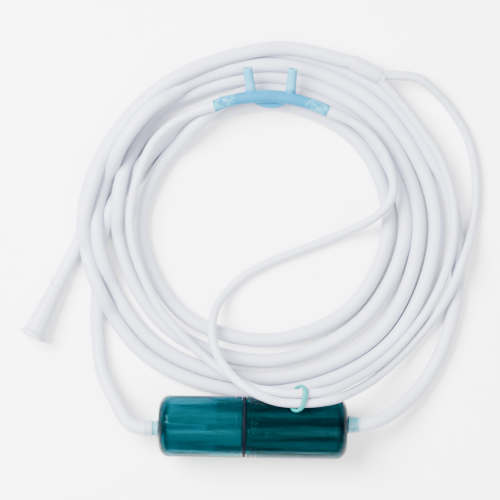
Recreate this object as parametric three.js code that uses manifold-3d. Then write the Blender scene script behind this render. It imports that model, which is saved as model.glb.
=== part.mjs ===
// Nasal cannula with a water trap, lying flat as it is stored.
// Millimetres, +Z up. The plan's working centre is the middle of the coil of supply hose,
// with +Y towards the nosepiece. At the end the whole part is moved so that its origin is
// the middle of the underside of the moulded pieces.

import * as THREE from "three";
import { mergeVertices } from "three/addons/utils/BufferGeometryUtils.js";
import Module from "manifold-3d";

const wasm = await Module();
wasm.setup();

// Driving dimensions
const FIT_GAP = 0.3;
const HOSE_D = 7.0;
const HOSE_BORE_D = 4.5;
const EAR_TUBE_D = 4.5;
const EAR_TUBE_PITCH = 4.75;

const COIL_INNER_R = 57;
const COIL_OUTER_R = 88;
const COIL_HEIGHT = 11;
const COIL_EDGE_STEPS = 5;
const COIL_SEGMENTS = 64;

const TRAP_R = 15.4;
const TRAP_WALL = 1.5;
const TRAP_END_WALL = 2.2;
const TRAP_DOME_DEPTH = 5.5;
const TRAP_CAP_LENGTH = 41.6;
const TRAP_CUP_LENGTH = 50.2;
const TRAP_NECK_LENGTH = 13.0;
const TRAP_NECK_WALL = 1.3;
const SEAL_WIDTH = 1.8;
const SEAL_DEPTH = 1.3;
const TRAP_TURN = THREE.MathUtils.degToRad(-0.9);
const TRAP_LEFT_END = [-52.2, -102.1];
const TRAP_FLAT_R = 8.5;
const TRAP_NECK_CHAMFER = 1.0;
const TRAP_FACETS = 48;
const PORT_FACETS = 24;
const DOME_STEPS = 6;
const INLET_OFFSET = -1.3;
const OUTLET_OFFSET = 2.1;
const PORT_BORE_D = 3.2;
const PORT_HOLE_R = 3.2;
const INLET_COLLAR_R = 4.0;
const INLET_COLLAR_LENGTH = 7.2;
const INLET_SKIRT_LENGTH = 2.4;
const INLET_SKIRT_STEP = 0.6;
const INLET_SKIRT_INSET = 0.4;
const INLET_DRIP_LENGTH = 24;
const INLET_DRIP_TIP_R = 1.9;
const OUTLET_COLLAR_R = 4.3;
const OUTLET_TIP_R = 3.7;
const OUTLET_COLLAR_LENGTH = 6.4;
const OUTLET_STUB_LENGTH = 3.5;
const SHANK_PROUD = 2.0;

const SUPPLY_LENGTH = 32.5;
const SUPPLY_COLLAR_R = 4.25;
const SUPPLY_COLLAR_LENGTH = 5;
const SUPPLY_NECK_R = 3.9;
const SUPPLY_MOUTH_R = 5.65;
const SUPPLY_FLANGE_R = 6.9;
const SUPPLY_FLANGE_T = 2.2;
const SUPPLY_BORE_MOUTH_R = 4.6;
const SUPPLY_BORE_DEEP_R = 4.2;
const SUPPLY_BORE_DEPTH = 22;
const SUPPLY_STEP = 1.0;
const SUPPLY_BORE_TAPER = 2.0;
const SUPPLY_FLOOR_CLEARANCE = 0.2;
const SUPPLY_START = [-101.75, -29];
const SUPPLY_HEADING = THREE.MathUtils.degToRad(-115.7);
const SUPPLY_FACETS = 32;

const Y_BODY_D = 8.0;
const Y_STUB_D = 5.0;

const RING_WALL = 1.7;
const RING_LENGTH = 2.75;
const RING_PLAY = 0.6;
const RING_SKEW = THREE.MathUtils.degToRad(8);

const NOSE_BODY_W = 7.0;
const NOSE_END_W = 6.2;
const PRONG_D = 5.0;
const PRONG_BORE_D = 3.2;
const PRONG_BORE_DEPTH = 4.5;
const PRONG_RISE = 3.5;
const PRONG_SAG = 0.8;
const LIP_THICKNESS = 1.8;
const LIP_ABOVE_UNDERSIDE = 0.8;

// Heights of the layers above the floor
const HOSE_R = HOSE_D / 2;
const EAR_TUBE_R = EAR_TUBE_D / 2;
const FLOOR_GAP = 0.05;
const OVER_COIL = COIL_HEIGHT + FIT_GAP;
const HOSE_LIES_Z = HOSE_R + FLOOR_GAP;
const EAR_LIES_Z = EAR_TUBE_R + FLOOR_GAP;
const EAR_RIDES_Z = OVER_COIL + EAR_TUBE_R;
const NOSE_Z = OVER_COIL + NOSE_BODY_W / 2;
const Y_Z = 9.5;
const RING_Z = 2 * TRAP_R - FIT_GAP;
const RING_Y = -87.6;
const RING_X = 17.5;

// Materials
const whiteSilicone = new THREE.MeshStandardMaterial({ color: 0xe6e6ee, roughness: 0.5, metalness: 0 });
const blueSilicone = new THREE.MeshStandardMaterial({ color: 0x5cc8ea, roughness: 0.3, metalness: 0 });
const tealPlastic = new THREE.MeshStandardMaterial({ color: 0x047386, roughness: 0.15, metalness: 0 });
const darkRubber = new THREE.MeshStandardMaterial({ color: 0x0c0c12, roughness: 0.5, metalness: 0 });
const aquaSilicone = new THREE.MeshStandardMaterial({ color: 0x6ee6dc, roughness: 0.4, metalness: 0 });
const paleBlueSilicone = new THREE.MeshStandardMaterial({ color: 0xbfe0ec, roughness: 0.4, metalness: 0 });

const part = new THREE.Group();

// Places in the plan, seen round this point on the coil's edge, move with the coil's radius
const COIL_EDGE_SEEN = [0, -88];

function fromCoil([x, y, z = 0]) {
  const reach = Math.hypot(x, y);
  const reachSeen = Math.hypot(...COIL_EDGE_SEEN);
  const moved = (COIL_OUTER_R - reachSeen) * Math.min(1, reach / reachSeen);
  const share = (reach + moved) / reach;
  return [x * share, y * share, z];
}

function piece(name, geometry, material, parent = part) {
  const mesh = new THREE.Mesh(geometry, material);
  mesh.name = name;
  parent.add(mesh);
  return mesh;
}

// Booleans
function toSolid(geometry) {
  const bare = geometry.index ? geometry.toNonIndexed() : geometry.clone();
  bare.deleteAttribute("normal");
  bare.deleteAttribute("uv");
  const merged = mergeVertices(bare, 1e-4);
  const mesh = new wasm.Mesh({
    numProp: 3,
    vertProperties: new Float32Array(merged.attributes.position.array),
    triVerts: new Uint32Array(merged.index.array),
  });
  return new wasm.Manifold(mesh);
}

function toGeometry(solid) {
  const mesh = solid.getMesh();
  const geometry = new THREE.BufferGeometry();
  geometry.setAttribute("position", new THREE.BufferAttribute(mesh.vertProperties, 3));
  geometry.setIndex(new THREE.BufferAttribute(mesh.triVerts, 1));
  geometry.computeVertexNormals();
  return geometry;
}

// Shared shapes
function ringOfPoints(radius, sides) {
  const points = [];
  for (let i = 0; i < sides; i += 1) {
    const angle = (2 * Math.PI * (i + 0.5)) / sides;
    points.push(new THREE.Vector2(radius * Math.cos(angle), radius * Math.sin(angle)));
  }
  return points;
}

function curveThrough(points) {
  return new THREE.CatmullRomCurve3(points.map((p) => new THREE.Vector3(...p)), false, "centripetal");
}

function tubeAlong(points, radius, sides, steps) {
  const shape = new THREE.Shape(ringOfPoints(radius, sides));
  const extrudePath = curveThrough(points);
  return new THREE.ExtrudeGeometry(shape, { steps, bevelEnabled: false, extrudePath });
}

// A solid turned about the X axis from points (distance along X, radius), in either order
function turnedAboutX(profile, segments) {
  const points = profile.map(([x, r]) => new THREE.Vector2(r, x));
  if (THREE.ShapeUtils.area(points) < 0) points.reverse();
  const geometry = new THREE.LatheGeometry([...points, points[0].clone()], segments);
  geometry.rotateZ(-Math.PI / 2);
  return geometry;
}

// The quarter of an ellipse that rounds a dome from the flat end to the side
function domePoints(depth, flatRadius, sideRadius, count) {
  const points = [];
  for (let i = 0; i <= count; i += 1) {
    const angle = (Math.PI / 2) * (i / count);
    points.push([
      depth * (1 - Math.sin(angle)),
      flatRadius + (sideRadius - flatRadius) * Math.cos(angle),
    ]);
  }
  return points.reverse();
}

// Coil of supply hose: the outer shape of its turns, a ring with rounded edges
function coilRing() {
  const edge = COIL_HEIGHT / 2;
  const profile = [];
  for (const [centre, start] of [[COIL_OUTER_R - edge, -Math.PI / 2], [COIL_INNER_R + edge, Math.PI / 2]]) {
    for (let i = 0; i <= COIL_EDGE_STEPS; i += 1) {
      const angle = start + (Math.PI * i) / COIL_EDGE_STEPS;
      profile.push(new THREE.Vector2(centre + edge * Math.cos(angle), edge + edge * Math.sin(angle)));
    }
  }
  profile.push(profile[0].clone());
  const geometry = new THREE.LatheGeometry(profile, COIL_SEGMENTS);
  geometry.rotateX(Math.PI / 2);
  return geometry;
}
piece("hose_coil", coilRing(), whiteSilicone);

// Water trap: two halves in line, the cup's neck inside the cap's mouth
const trap = new THREE.Group();
trap.position.set(...fromCoil([...TRAP_LEFT_END, TRAP_R]));
trap.rotation.z = TRAP_TURN;
part.add(trap);
trap.updateMatrixWorld(true);

const trapInnerR = TRAP_R - TRAP_WALL;
const neckOuterR = trapInnerR - FIT_GAP;
const neckInnerR = neckOuterR - TRAP_NECK_WALL;
const cupMouthX = TRAP_CAP_LENGTH + SEAL_WIDTH + 2 * FIT_GAP;
const trapEndX = cupMouthX + TRAP_CUP_LENGTH;

function besideTrap(x, y) {
  return trap.localToWorld(new THREE.Vector3(x, y, 0)).toArray();
}
const inletEnd = besideTrap(-INLET_COLLAR_LENGTH - FIT_GAP, INLET_OFFSET);
const outletEnd = besideTrap(trapEndX + OUTLET_COLLAR_LENGTH + FIT_GAP, OUTLET_OFFSET);

// Routes of the free stretches: x, y, height
const LEFT_LEAD = [
  [-83.1, -40, HOSE_LIES_Z], [-83.6, -47, HOSE_LIES_Z], [-83.3, -55, HOSE_LIES_Z], [-82.6, -63, 4],
  [-81.5, -72, 5.5], [-78.5, -81, 8], [-74, -89.5, 11], [-70, -97, 13.4], [-66.8, -101.2, 14.9],
  [-63.4, -103.1, TRAP_R],
];
const RIGHT_LEAD = [
  [52.5, -101.4, 15.3], [61, -98.2, 12.5], [68.5, -93.5, 9], [76, -87, 6],
  [82, -79.5, 4.3], [87.5, -70.5, 3.6], [91.5, -61, HOSE_LIES_Z], [94.5, -52, HOSE_LIES_Z],
  [96.5, -43, HOSE_LIES_Z], [97.8, -34.5, HOSE_LIES_Z], [98.2, -25.5, HOSE_LIES_Z],
  [98, -17, HOSE_LIES_Z], [97.3, -8.5, HOSE_LIES_Z], [96.5, 0, HOSE_LIES_Z], [95.2, 8, HOSE_LIES_Z],
  [93.6, 15, HOSE_LIES_Z], [92.6, 19.5, HOSE_LIES_Z],
];
const END_LEAD = [
  [-91.2, -8, HOSE_LIES_Z], [-93.6, -13.2, HOSE_LIES_Z], [-96.6, -18.8, 3.6], [-99.6, -24.6, 4.1],
  [-101.6, -28.7, 4.42],
];
const RIGHT_EAR_TUBE = [
  [33.2, 54.4, NOSE_Z], [38, 52.8, 14.4], [43.5, 50, EAR_RIDES_Z], [49.5, 46.3, EAR_RIDES_Z],
  [55, 41.5, EAR_RIDES_Z], [59.5, 35.5, EAR_RIDES_Z], [62.5, 29.5, EAR_RIDES_Z],
  [64.5, 23, EAR_RIDES_Z], [65.2, 15.5, EAR_RIDES_Z], [63.2, 9.5, EAR_RIDES_Z], [59, 4.5, 13.5],
  [53.2, 0, 10.8], [46, -3.5, 6.4], [36, -8, 3], [23.5, -13, EAR_LIES_Z], [11, -17.5, EAR_LIES_Z],
  [-0.5, -22.5, EAR_LIES_Z], [-10, -28, 2.3], [-17.5, -35, 2.8], [-22.5, -41.5, 6.4],
  [-25, -48.5, 10.8], [-25.5, -56, 14], [-23.5, -64.5, 17], [-19.5, -72, 22.5], [-13.5, -78.5, 28.2],
  [-6.5, -83.5, 32], [1, -87.1, 32.6], [6, -88.9, 31.3], [11, -89.75, RING_Z + 0.1], [17.5, -90.05, RING_Z],
  [24, -89.85, RING_Z - 0.1], [29.5, -89.3, 30], [35.5, -88.2, 28.3], [43.5, -85.4, 22], [52.5, -81, 15.5],
  [61, -75, 10], [69.5, -67.5, 6.5], [77.5, -59, 4.8], [85, -49.9, 4.6], [91.6, -39.8, 7.6],
  [96, -30.5, 9.9], [100, -20.5, 9.6], [103.5, -11, 6], [106, -0.5, 2.6], [107.5, 10.5, EAR_LIES_Z],
  [107.5, 20.5, EAR_LIES_Z], [106.5, 29.5, EAR_LIES_Z], [104.5, 38, EAR_LIES_Z], [101, 46.5, 2.3],
  [96, 54.5, 2.8], [91, 61, 4.4], [85, 66.5, 6.8], [79, 71.2, 9.1], [74, 72.5, 9.5],
];
const LEFT_EAR_TUBE = [
  [-25.3, 57.4, NOSE_Z], [-30, 55.8, 14.4], [-35.5, 53.5, EAR_RIDES_Z], [-41, 51, EAR_RIDES_Z],
  [-46.5, 47.5, EAR_RIDES_Z], [-51.5, 43, EAR_RIDES_Z], [-55.5, 38, EAR_RIDES_Z],
  [-61, 26.5, EAR_RIDES_Z], [-65, 13, EAR_RIDES_Z], [-66.5, -0.5, EAR_RIDES_Z],
  [-64.5, -14.5, EAR_RIDES_Z], [-59, -29.5, EAR_RIDES_Z], [-51, -44.5, EAR_RIDES_Z],
  [-40, -57.5, EAR_RIDES_Z], [-33.5, -64, 13.6], [-26.5, -70, 14.4], [-19, -75.5, 16.8],
  [-11, -80.3, 21.4], [-3, -83.2, 26.6], [4, -84, 29.6], [11, -85, RING_Z + 0.1], [17.5, -85.3, RING_Z],
  [24, -85.1, RING_Z - 0.1], [29.5, -84.5, 30.2], [35.5, -83.2, 28], [43.5, -79.8, 22.3], [52, -75.6, 16],
  [60, -70.2, 11.2], [67.5, -63.6, 8.3], [74.5, -55.8, 7], [80.5, -48, 6.6], [85.6, -39.6, 6.6],
  [89.6, -31.2, 7], [92.8, -22.5, 8], [94.8, -14, 9.2], [95.9, -5.5, 9.6], [96, 3, 9.6],
  [95, 11.5, 9.6], [93.2, 19.5, 9.6], [90.4, 27.5, 9.6], [86.6, 35.5, 9.6], [81.8, 42.5, 9.6],
  [76.8, 49.5, 9.6], [71.4, 56.5, 9.6], [67.5, 61, 9.5],
];

const HOSE_SIDES = 12;
const EAR_TUBE_SIDES = 8;
for (const [name, route, radius, sides, steps] of [
  ["hose_left_lead", [...LEFT_LEAD.map(fromCoil), inletEnd], HOSE_R, HOSE_SIDES, 12],
  ["hose_right_lead", [outletEnd, ...RIGHT_LEAD.map(fromCoil)], HOSE_R, HOSE_SIDES, 24],
  ["hose_end_lead", END_LEAD.map(fromCoil), HOSE_R, HOSE_SIDES, 4],
  ["ear_tube_right", RIGHT_EAR_TUBE.map(fromCoil), EAR_TUBE_R, EAR_TUBE_SIDES, 78],
  ["ear_tube_left", LEFT_EAR_TUBE.map(fromCoil), EAR_TUBE_R, EAR_TUBE_SIDES, 66],
]) {
  piece(name, tubeAlong(route, radius, sides, steps), whiteSilicone);
}

// Pieces of the water trap

function portHole(offset, from, to) {
  const hole = new THREE.CylinderGeometry(PORT_HOLE_R, PORT_HOLE_R, to - from, PORT_FACETS);
  hole.rotateZ(-Math.PI / 2);
  hole.translate((from + to) / 2, offset, 0);
  return toSolid(hole);
}

const outerDome = domePoints(TRAP_DOME_DEPTH, TRAP_FLAT_R, TRAP_R, DOME_STEPS);
const innerDome = domePoints(
  TRAP_DOME_DEPTH - TRAP_WALL, TRAP_FLAT_R - TRAP_WALL, trapInnerR, DOME_STEPS,
).map(([x, r]) => [x + TRAP_END_WALL, r]);
const fromRightEnd = ([x, r]) => [trapEndX - x, r];
const CUT_CLEARANCE = 1.0;

function trapCap() {
  const profile = [
    [0, 0], ...outerDome, [TRAP_CAP_LENGTH, TRAP_R], [TRAP_CAP_LENGTH, trapInnerR],
    ...innerDome.toReversed(), [TRAP_END_WALL, 0],
  ];
  const solid = toSolid(turnedAboutX(profile, TRAP_FACETS));
  return toGeometry(solid.subtract(portHole(INLET_OFFSET, -CUT_CLEARANCE, TRAP_END_WALL + SHANK_PROUD)));
}
piece("trap_cap", trapCap(), tealPlastic, trap);

function trapCup() {
  const neckStartX = cupMouthX - TRAP_NECK_LENGTH - SEAL_WIDTH;
  const stepX = cupMouthX + TRAP_WALL;
  const profile = [
    [trapEndX - TRAP_END_WALL, 0], ...innerDome.map(fromRightEnd),
    [stepX + TRAP_NECK_CHAMFER, trapInnerR], [stepX, neckInnerR],
    [neckStartX, neckInnerR], [neckStartX, neckOuterR], [cupMouthX, neckOuterR], [cupMouthX, TRAP_R],
    ...outerDome.toReversed().map(fromRightEnd), [trapEndX, 0],
  ];
  const solid = toSolid(turnedAboutX(profile, TRAP_FACETS));
  const holeStart = trapEndX - TRAP_END_WALL - SHANK_PROUD;
  return toGeometry(solid.subtract(portHole(OUTLET_OFFSET, holeStart, trapEndX + CUT_CLEARANCE)));
}
piece("trap_cup", trapCup(), tealPlastic, trap);

function trapSeal() {
  const start = TRAP_CAP_LENGTH + FIT_GAP;
  const low = neckOuterR + FIT_GAP;
  const high = low + SEAL_DEPTH;
  const round = SEAL_WIDTH / 4;
  const profile = [
    [start, low], [start, high - round], [start + round, high], [start + SEAL_WIDTH - round, high],
    [start + SEAL_WIDTH, high - round], [start + SEAL_WIDTH, low],
  ];
  return turnedAboutX(profile, TRAP_FACETS);
}
piece("trap_seal", trapSeal(), darkRubber, trap);

const shankR = PORT_HOLE_R - FIT_GAP;
const portBoreR = PORT_BORE_D / 2;

function inletPort() {
  const skirtR = INLET_COLLAR_R - INLET_SKIRT_INSET;
  const collarEnd = -INLET_SKIRT_LENGTH - INLET_SKIRT_STEP;
  const profile = [
    [-INLET_COLLAR_LENGTH, portBoreR], [-INLET_COLLAR_LENGTH, INLET_COLLAR_R],
    [collarEnd, INLET_COLLAR_R], [-INLET_SKIRT_LENGTH, skirtR], [-FIT_GAP, skirtR], [-FIT_GAP, shankR],
    [TRAP_END_WALL + SHANK_PROUD, shankR], [INLET_DRIP_LENGTH, INLET_DRIP_TIP_R],
    [INLET_DRIP_LENGTH, portBoreR],
  ];
  return turnedAboutX(profile, PORT_FACETS);
}
const inlet = piece("trap_inlet", inletPort(), paleBlueSilicone, trap);
inlet.position.y = INLET_OFFSET;

function outletPort() {
  const stubStart = -TRAP_END_WALL - OUTLET_STUB_LENGTH;
  const profile = [
    [stubStart, portBoreR], [stubStart, shankR], [FIT_GAP, shankR], [FIT_GAP, OUTLET_COLLAR_R],
    [OUTLET_COLLAR_LENGTH, OUTLET_TIP_R], [OUTLET_COLLAR_LENGTH, portBoreR],
  ];
  return turnedAboutX(profile, PORT_FACETS);
}
const outlet = piece("trap_outlet", outletPort(), paleBlueSilicone, trap);
outlet.position.set(trapEndX, OUTLET_OFFSET, 0);

// Supply connector: a flared push-on funnel on the hose's far end
function supplyConnector() {
  const bodyEnd = SUPPLY_LENGTH - SUPPLY_FLANGE_T;
  const boreEnd = SUPPLY_LENGTH - SUPPLY_BORE_DEPTH;
  const bore = HOSE_BORE_D / 2;
  const profile = [
    [0, bore], [0, SUPPLY_COLLAR_R], [SUPPLY_COLLAR_LENGTH, SUPPLY_COLLAR_R],
    [SUPPLY_COLLAR_LENGTH + SUPPLY_STEP, SUPPLY_NECK_R], [bodyEnd - SUPPLY_STEP, SUPPLY_MOUTH_R],
    [bodyEnd, SUPPLY_FLANGE_R], [SUPPLY_LENGTH, SUPPLY_FLANGE_R], [SUPPLY_LENGTH, SUPPLY_BORE_MOUTH_R],
    [boreEnd, SUPPLY_BORE_DEEP_R], [boreEnd - SUPPLY_BORE_TAPER, bore],
  ];
  return turnedAboutX(profile, SUPPLY_FACETS);
}
const supply = piece("supply_connector", supplyConnector(), whiteSilicone);
const supplyPitch = Math.asin((SUPPLY_FLANGE_R - SUPPLY_COLLAR_R) / SUPPLY_LENGTH);
supply.position.set(...fromCoil([...SUPPLY_START, SUPPLY_COLLAR_R + SUPPLY_FLOOR_CLEARANCE]));
supply.rotation.set(0, -supplyPitch, SUPPLY_HEADING, "ZYX");

// Connector between the supply hose and the two ear tubes
const Y_BODY = [[44.6, 79.6, Y_Z], [51, 76.3, Y_Z], [58.5, 72.6, Y_Z]];
const Y_UPPER_STUB = [[57, 73.3, Y_Z], [64, 73.2, Y_Z], [73.2, 72.6, Y_Z]];
const Y_LOWER_STUB = [[57.5, 73, Y_Z], [62, 67.6, Y_Z], [67.2, 61.4, Y_Z]];

function yConnector() {
  const body = tubeAlong(Y_BODY.map(fromCoil), Y_BODY_D / 2, 16, 4);
  const upper = tubeAlong(Y_UPPER_STUB.map(fromCoil), Y_STUB_D / 2, 12, 4);
  const lower = tubeAlong(Y_LOWER_STUB.map(fromCoil), Y_STUB_D / 2, 12, 4);
  return toGeometry(toSolid(body).add(toSolid(upper)).add(toSolid(lower)));
}
piece("y_connector", yConnector(), whiteSilicone);

// Slide ring: a short flat band that both ear tubes pass through
function stadium(halfPitch, radius, steps, clockwise) {
  const points = [];
  for (const [side, start] of [[halfPitch, -Math.PI / 2], [-halfPitch, Math.PI / 2]]) {
    for (let i = 0; i <= steps; i += 1) {
      const angle = start + (Math.PI * i) / steps;
      points.push(new THREE.Vector2(side + radius * Math.cos(angle), radius * Math.sin(angle)));
    }
  }
  return clockwise ? points.reverse() : points;
}

function slideRing() {
  const inner = EAR_TUBE_R + RING_PLAY;
  const shape = new THREE.Shape(stadium(EAR_TUBE_PITCH / 2, inner + RING_WALL, 10, false));
  shape.holes.push(new THREE.Path(stadium(EAR_TUBE_PITCH / 2, inner, 10, true)));
  const geometry = new THREE.ExtrudeGeometry(shape, { depth: RING_LENGTH, bevelEnabled: false, steps: 1 });
  geometry.translate(0, 0, -RING_LENGTH / 2);
  geometry.rotateX(Math.PI / 2);
  geometry.rotateZ(Math.PI / 2);
  return geometry;
}
const ring = piece("slide_ring", slideRing(), aquaSilicone);
ring.position.set(...fromCoil([RING_X, RING_Y, RING_Z]));
ring.rotation.z = RING_SKEW;

// Nosepiece: a curved bar with two hollow prongs and a lip tab, moulded in one
const NOSE_BAR = [
  [-24.8, 57.2, NOSE_Z], [-18, 59.6, NOSE_Z], [-9, 61.4, NOSE_Z], [0, 62.2, NOSE_Z], [9, 61.8, NOSE_Z],
  [18, 60, NOSE_Z], [26, 57.6, NOSE_Z], [32.7, 54.6, NOSE_Z],
];
const NOSE_MID_BAR = [
  [-16, 60, NOSE_Z], [-7, 61.3, NOSE_Z], [2, 61.8, NOSE_Z], [11, 61.2, NOSE_Z], [20, 59, NOSE_Z],
];
const LIP_LEFT = [[-8, 60], [-3.5, 58.2]];
const LIP_DIP = [4.3, 54.2];
const LIP_RIGHT = [[11.5, 58.4], [16, 60]];
const PRONGS = [{ base: [-5.6, 62], tip: [-7.8, 76.2] }, { base: [13.5, 61.4], tip: [14.8, 75.7] }];

function lipTab() {
  const outline = new THREE.Shape();
  outline.moveTo(...LIP_LEFT[0]);
  outline.lineTo(...LIP_LEFT[1]);
  outline.quadraticCurveTo(...LIP_DIP, ...LIP_RIGHT[0]);
  outline.lineTo(...LIP_RIGHT[1]);
  outline.closePath();
  const settings = { depth: LIP_THICKNESS, bevelEnabled: false, curveSegments: 8 };
  const lip = new THREE.ExtrudeGeometry(outline, settings);
  lip.translate(0, 0, NOSE_Z - NOSE_BODY_W / 2 + LIP_ABOVE_UNDERSIDE);
  return toSolid(lip);
}

function withProng(solid, prong) {
  const base = new THREE.Vector3(...prong.base, NOSE_Z);
  const tip = new THREE.Vector3(...prong.tip, NOSE_Z + PRONG_RISE);
  const middle = base.clone().lerp(tip, 0.5).setZ(NOSE_Z + PRONG_SAG);
  const route = [base, middle, tip].map((point) => point.toArray());
  const away = tip.clone().sub(middle).normalize();
  const boreStart = tip.clone().addScaledVector(away, -PRONG_BORE_DEPTH);
  const boreEnd = tip.clone().addScaledVector(away, CUT_CLEARANCE);
  const bore = tubeAlong([boreStart.toArray(), boreEnd.toArray()], PRONG_BORE_D / 2, 12, 1);
  return solid.add(toSolid(tubeAlong(route, PRONG_D / 2, 16, 6))).subtract(toSolid(bore));
}

function nosepiece() {
  const bar = toSolid(tubeAlong(NOSE_BAR, NOSE_END_W / 2, 16, 24));
  const midBar = toSolid(tubeAlong(NOSE_MID_BAR, NOSE_BODY_W / 2, 16, 12));
  return toGeometry(PRONGS.reduce(withProng, bar.add(midBar).add(lipTab())));
}
const nose = piece("nosepiece", nosepiece(), blueSilicone);
const noseMiddle = NOSE_BAR[3];
nose.position.y = fromCoil(noseMiddle)[1] - noseMiddle[1];

// The origin is the middle of the underside of the moulded pieces
const MOULDED = [
  "nosepiece", "y_connector", "slide_ring", "trap_cap", "trap_cup", "trap_seal", "trap_inlet", "trap_outlet",
];
part.updateMatrixWorld(true);
const extent = new THREE.Box3();
for (const name of MOULDED) extent.expandByObject(part.getObjectByName(name), true);
const middle = extent.getCenter(new THREE.Vector3());
part.position.set(-middle.x, -middle.y, 0);

export default part;
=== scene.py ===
"""A silicone nasal cannula with a water trap, lying coiled on a pale floor."""
import math

import bmesh
import bpy
import numpy as np
from mathutils import Matrix, Vector


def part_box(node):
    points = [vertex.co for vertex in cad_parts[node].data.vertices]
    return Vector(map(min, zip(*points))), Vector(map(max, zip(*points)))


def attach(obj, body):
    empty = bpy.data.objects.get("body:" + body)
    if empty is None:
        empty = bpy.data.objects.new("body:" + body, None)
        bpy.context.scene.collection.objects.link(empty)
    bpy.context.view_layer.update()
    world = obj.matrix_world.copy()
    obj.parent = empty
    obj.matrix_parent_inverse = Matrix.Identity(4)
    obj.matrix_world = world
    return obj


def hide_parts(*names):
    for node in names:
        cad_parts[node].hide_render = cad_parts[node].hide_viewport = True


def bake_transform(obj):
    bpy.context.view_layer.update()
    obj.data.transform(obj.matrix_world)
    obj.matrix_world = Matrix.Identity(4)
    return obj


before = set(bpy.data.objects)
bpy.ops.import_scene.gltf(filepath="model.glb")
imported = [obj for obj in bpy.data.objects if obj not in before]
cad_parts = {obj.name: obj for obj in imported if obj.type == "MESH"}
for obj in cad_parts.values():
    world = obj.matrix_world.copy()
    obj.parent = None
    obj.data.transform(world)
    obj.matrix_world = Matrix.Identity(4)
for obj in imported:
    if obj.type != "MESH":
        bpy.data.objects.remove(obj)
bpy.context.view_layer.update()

MM = 0.001

# Sizes shared with the frame, in millimetres
HOSE_D = 7.0
HOSE_BORE_D = 4.5
EAR_TUBE_D = 4.5
EAR_TUBE_PITCH = 4.75
COIL_HEIGHT = 11.0
FIT_GAP = 0.3
FLOOR_GAP = 0.05
TRAP_R = 15.4
TRAP_TURN = math.radians(-0.9)
HOSE_R = HOSE_D / 2
EAR_TUBE_R = EAR_TUBE_D / 2
HOSE_LIES_Z = HOSE_R + FLOOR_GAP
EAR_LIES_Z = EAR_TUBE_R + FLOOR_GAP
EAR_RIDES_Z = COIL_HEIGHT + FIT_GAP + EAR_TUBE_R
NOSE_BODY_W = 7.0
NOSE_Z = COIL_HEIGHT + FIT_GAP + NOSE_BODY_W / 2
Y_Z = 9.5

# Water trap, in its own frame: X along its axis from the left end
TRAP_WALL = 1.5
TRAP_END_WALL = 2.2
TRAP_DOME_DEPTH = 5.5
TRAP_FLAT_R = 8.5
TRAP_CAP_LENGTH = 41.6
TRAP_CUP_LENGTH = 50.2
TRAP_NECK_LENGTH = 13.0
TRAP_NECK_WALL = 1.3
SEAL_WIDTH = 1.8
SEAL_DEPTH = 1.3
TRAP_LEFT_END = (-52.2, -102.1, TRAP_R)
INLET_OFFSET = -1.3
OUTLET_OFFSET = 2.1
PORT_HOLE_R = 3.2
PORT_BORE_R = 1.6
SHANK_PROUD = 2.0
SOCKET_PLAY = 0.06
SOCKET_R = HOSE_R + SOCKET_PLAY
EAR_SOCKET_R = EAR_TUBE_R + SOCKET_PLAY
SOCKET_LENGTH = 3.4
SOCKET_DEPTH = 3.0
SHANK_R = PORT_HOLE_R - FIT_GAP
TRAP_INNER_R = TRAP_R - TRAP_WALL
NECK_OUTER_R = TRAP_INNER_R - FIT_GAP
NECK_INNER_R = NECK_OUTER_R - TRAP_NECK_WALL
CUP_MOUTH_X = TRAP_CAP_LENGTH + SEAL_WIDTH + 2 * FIT_GAP
TRAP_END_X = CUP_MOUTH_X + TRAP_CUP_LENGTH
TRAP_SEGMENTS = 144
FLUTES = 24
FLUTE_DEPTH = 0.22
GROOVE_DEPTH = 0.3
GROOVE_WIDTH = 0.9

# The plan's working centre is the middle of the coil
coil_low, coil_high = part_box("hose_coil")
PLAN_X = (coil_low[0] + coil_high[0]) / 2
PLAN_Y = (coil_low[1] + coil_high[1]) / 2


def at(point):
    """A point of the plan, in millimetres, as a place in the row frame, in metres."""
    x, y, z = point
    return Vector((PLAN_X + x * MM, PLAN_Y + y * MM, z * MM))


# Camera: straight down, framed as the photograph is
PHOTO_PX_PER_MM = 2.0
PHOTO_PX = 500
PHOTO_CENTRE_PX = (250, 250)
COIL_CENTRE_PX = (263, 221)
CAMERA_HEIGHT = 1.3
VIEW_HEIGHT = 0.012


def add_camera():
    data = bpy.data.cameras.new("camera")
    camera = bpy.data.objects.new("camera", data)
    bpy.context.scene.collection.objects.link(camera)
    x = (PHOTO_CENTRE_PX[0] - COIL_CENTRE_PX[0]) / PHOTO_PX_PER_MM
    y = (COIL_CENTRE_PX[1] - PHOTO_CENTRE_PX[1]) / PHOTO_PX_PER_MM
    camera.location = at((x, y, CAMERA_HEIGHT / MM))
    width = PHOTO_PX / PHOTO_PX_PER_MM * MM
    data.angle = 2 * math.atan(width / 2 / (CAMERA_HEIGHT - VIEW_HEIGHT))
    data.clip_start = 0.01
    data.clip_end = 10
    bpy.context.scene.camera = camera


add_camera()


# Node groups

def new_group(name, inputs, outputs):
    group = bpy.data.node_groups.new(name, "ShaderNodeTree")
    for socket, kind, value in inputs:
        made = group.interface.new_socket(socket, in_out="INPUT", socket_type=kind)
        made.default_value = value
    for socket, kind in outputs:
        group.interface.new_socket(socket, in_out="OUTPUT", socket_type=kind)
    nodes = group.nodes
    return group, nodes.new("NodeGroupInput"), nodes.new("NodeGroupOutput")


def colour_ramp(nodes, stops):
    ramp = nodes.new("ShaderNodeValToRGB")
    points = ramp.color_ramp.elements
    while len(points) < len(stops):
        points.new(0.5)
    for point, (place, colour) in zip(points, stops):
        point.position = place
        point.color = (*colour, 1)
    return ramp


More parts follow.
